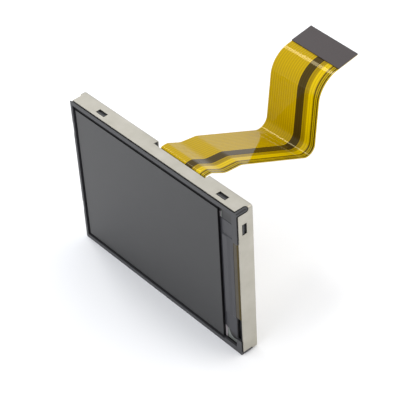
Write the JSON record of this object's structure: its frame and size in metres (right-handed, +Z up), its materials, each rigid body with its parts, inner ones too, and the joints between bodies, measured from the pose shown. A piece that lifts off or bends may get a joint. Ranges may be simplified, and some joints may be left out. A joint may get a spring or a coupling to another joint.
{
  "type": "lcd display",
  "caption": "Small camera-type liquid crystal display module in a steel tray with a black frame, a backlight stack and a bent flat flex tail with a stiffened contact end.",
  "frame": {"origin": "middle of the long lower edge that the module stands on, at mid thickness", "axes": "+X to the right seen from the front, +Y to the back of the module, +Z up"},
  "size_m": [0.0616, 0.0534, 0.0558],
  "materials": {
    "nickel_stainless": "matt cold-rolled stainless sheet",
    "black_polycarbonate": "black moulded polycarbonate",
    "front_polariser_film": "anti-glare dark film",
    "filter_glass": "dark display glass",
    "thin_film_glass": "dark display glass",
    "rear_polariser_film": "dark film",
    "black_tape": "black polyester tape",
    "prism_film": "clear prism film",
    "diffuser_film": "milky film",
    "clear_acrylic": "clear acrylic",
    "white_reflector": "white reflective film",
    "led_package": "white moulded package with phosphor",
    "polyimide_flex": "amber polyimide",
    "tin_solder": "solder",
    "silicon_chip": "bare silicon",
    "bonding_film": "conductive bonding film",
    "shading_tape": "dark grey polyester tape",
    "amber_polyimide": "amber polyimide over copper traces",
    "tan_ceramic": "tan ceramic",
    "dark_ceramic": "black ceramic",
    "black_film": "black polyester film",
    "dark_stiffener": "brown-grey stiffener",
    "gold_plate": "gold plated copper"
  },
  "bodies": {
    "root": {"rear_bezel": "nickel_stainless", "mould_frame": "black_polycarbonate", "front_polariser": "front_polariser_film", "colour_filter_glass": "filter_glass", "tft_glass": "thin_film_glass", "rear_polariser": "rear_polariser_film", "rim_tape": "black_tape", "upper_prism_sheet": "prism_film", "lower_prism_sheet": "prism_film", "diffuser_sheet": "diffuser_film", "light_guide": "clear_acrylic", "reflector_sheet": "white_reflector", "backlight_leds": "led_package", "led_flex": "polyimide_flex", "solder_pads": "tin_solder", "driver_chip": "silicon_chip", "bond_film": "bonding_film", "ledge_tape": "shading_tape", "main_flex": "amber_polyimide", "flex_tapes": "black_tape", "chip_capacitors": "tan_ceramic", "chip_resistors": "dark_ceramic", "insulation_film": "black_film", "tail_stiffener": "dark_stiffener", "contact_fingers": "gold_plate"}
  },
  "joints": []
}
